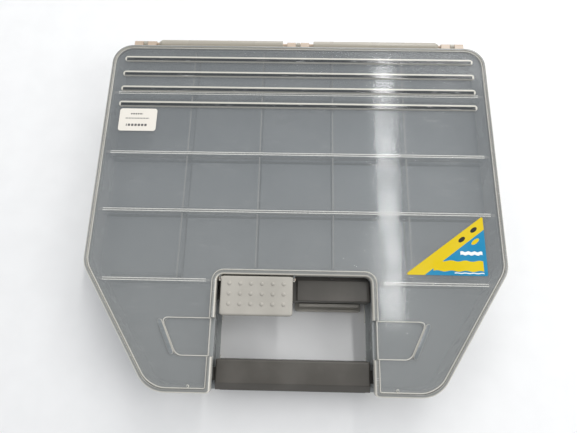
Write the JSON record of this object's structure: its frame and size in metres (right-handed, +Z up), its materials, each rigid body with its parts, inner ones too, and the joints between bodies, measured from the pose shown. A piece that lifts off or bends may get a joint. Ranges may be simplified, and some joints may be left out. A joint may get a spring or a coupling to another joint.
{
  "type": "double-sided compartment case",
  "caption": "Flat double-sided clear plastic compartment case with a hinged lid on each face, finger latches and a carrying handle set into a notch.",
  "frame": {"origin": "middle of the bounding box's underside, with the case lying on its rear lid", "axes": "+X to the right along the hinges, +Y towards the hinge side, +Z up through the front lid"},
  "size_m": [0.35, 0.3166, 0.05],
  "materials": {
    "clear_tray": "smoky clear polypropylene, semi-gloss",
    "clear_divider": "smoky clear polypropylene, semi-gloss",
    "smoke_lid": "smoky clear plastic, glossy with a rolled rim",
    "latch_grey": "warm light grey, satin, moulded bumps",
    "dark_grey": "dark warm grey, satin",
    "tan_pin": "tan plastic rod",
    "white_label": "white paper label, blank lines",
    "sticker": null
  },
  "bodies": {
    "case": {"tray_shell": "clear_tray", "middle_floor": "clear_tray", "front_row_wall_1": "clear_tray", "front_row_wall_2": "clear_tray", "front_row_wall_3": "clear_tray", "front_bin_wall_left": "clear_tray", "front_bin_wall_right": "clear_tray", "rear_row_wall_1": "clear_tray", "rear_row_wall_2": "clear_tray", "rear_row_wall_3": "clear_tray", "rear_bin_wall_left": "clear_tray", "rear_bin_wall_right": "clear_tray", "front_divider_1_1": "clear_divider", "front_divider_1_2": "clear_divider", "front_divider_1_3": "clear_divider", "front_divider_1_4": "clear_divider", "front_divider_2_1": "clear_divider", "front_divider_2_2": "clear_divider", "front_divider_2_3": "clear_divider", "front_divider_2_4": "clear_divider", "front_divider_3_1": "clear_divider", "front_divider_3_2": "clear_divider", "front_divider_3_3": "clear_divider", "front_divider_3_4": "clear_divider", "front_divider_4_1": "clear_divider", "front_divider_4_2": "clear_divider", "front_divider_4_3": "clear_divider", "front_divider_4_4": "clear_divider", "rear_divider_2_2": "clear_divider", "front_hinge_pins": "tan_pin", "front_latch_keeper": "dark_grey", "front_handle_shell": "dark_grey", "rear_hinge_pins": "tan_pin", "rear_latch_keeper": "dark_grey", "rear_handle_shell": "dark_grey"},
    "front_lid": {"front_lid": "smoke_lid", "front_latch_pin": "tan_pin", "price_label": "white_label", "corner_sticker": "sticker"},
    "rear_lid": {"rear_lid": "smoke_lid", "rear_latch_pin": "tan_pin"},
    "front_latch": {"front_latch": "latch_grey"},
    "rear_latch": {"rear_latch": "latch_grey"}
  },
  "joints": [
    {"name": "front_lid_hinge", "type": "hinge", "parent": "case", "child": "front_lid", "pos_m": [0, 0.1548, 0.0454], "axis": [-1, 0, 0], "range_deg": [0, 170]},
    {"name": "rear_lid_hinge", "type": "hinge", "parent": "case", "child": "rear_lid", "pos_m": [0, 0.1548, 0.0046], "axis": [1, 0, 0], "range_deg": [0, 170]},
    {"name": "front_latch_hinge", "type": "hinge", "parent": "front_lid", "child": "front_latch", "pos_m": [-0.03035, -0.0699, 0.0466], "axis": [-1, 0, 0], "range_deg": [0, 90]},
    {"name": "rear_latch_hinge", "type": "hinge", "parent": "rear_lid", "child": "rear_latch", "pos_m": [0.03035, -0.0699, 0.0034], "axis": [1, 0, 0], "range_deg": [0, 90]}
  ]
}
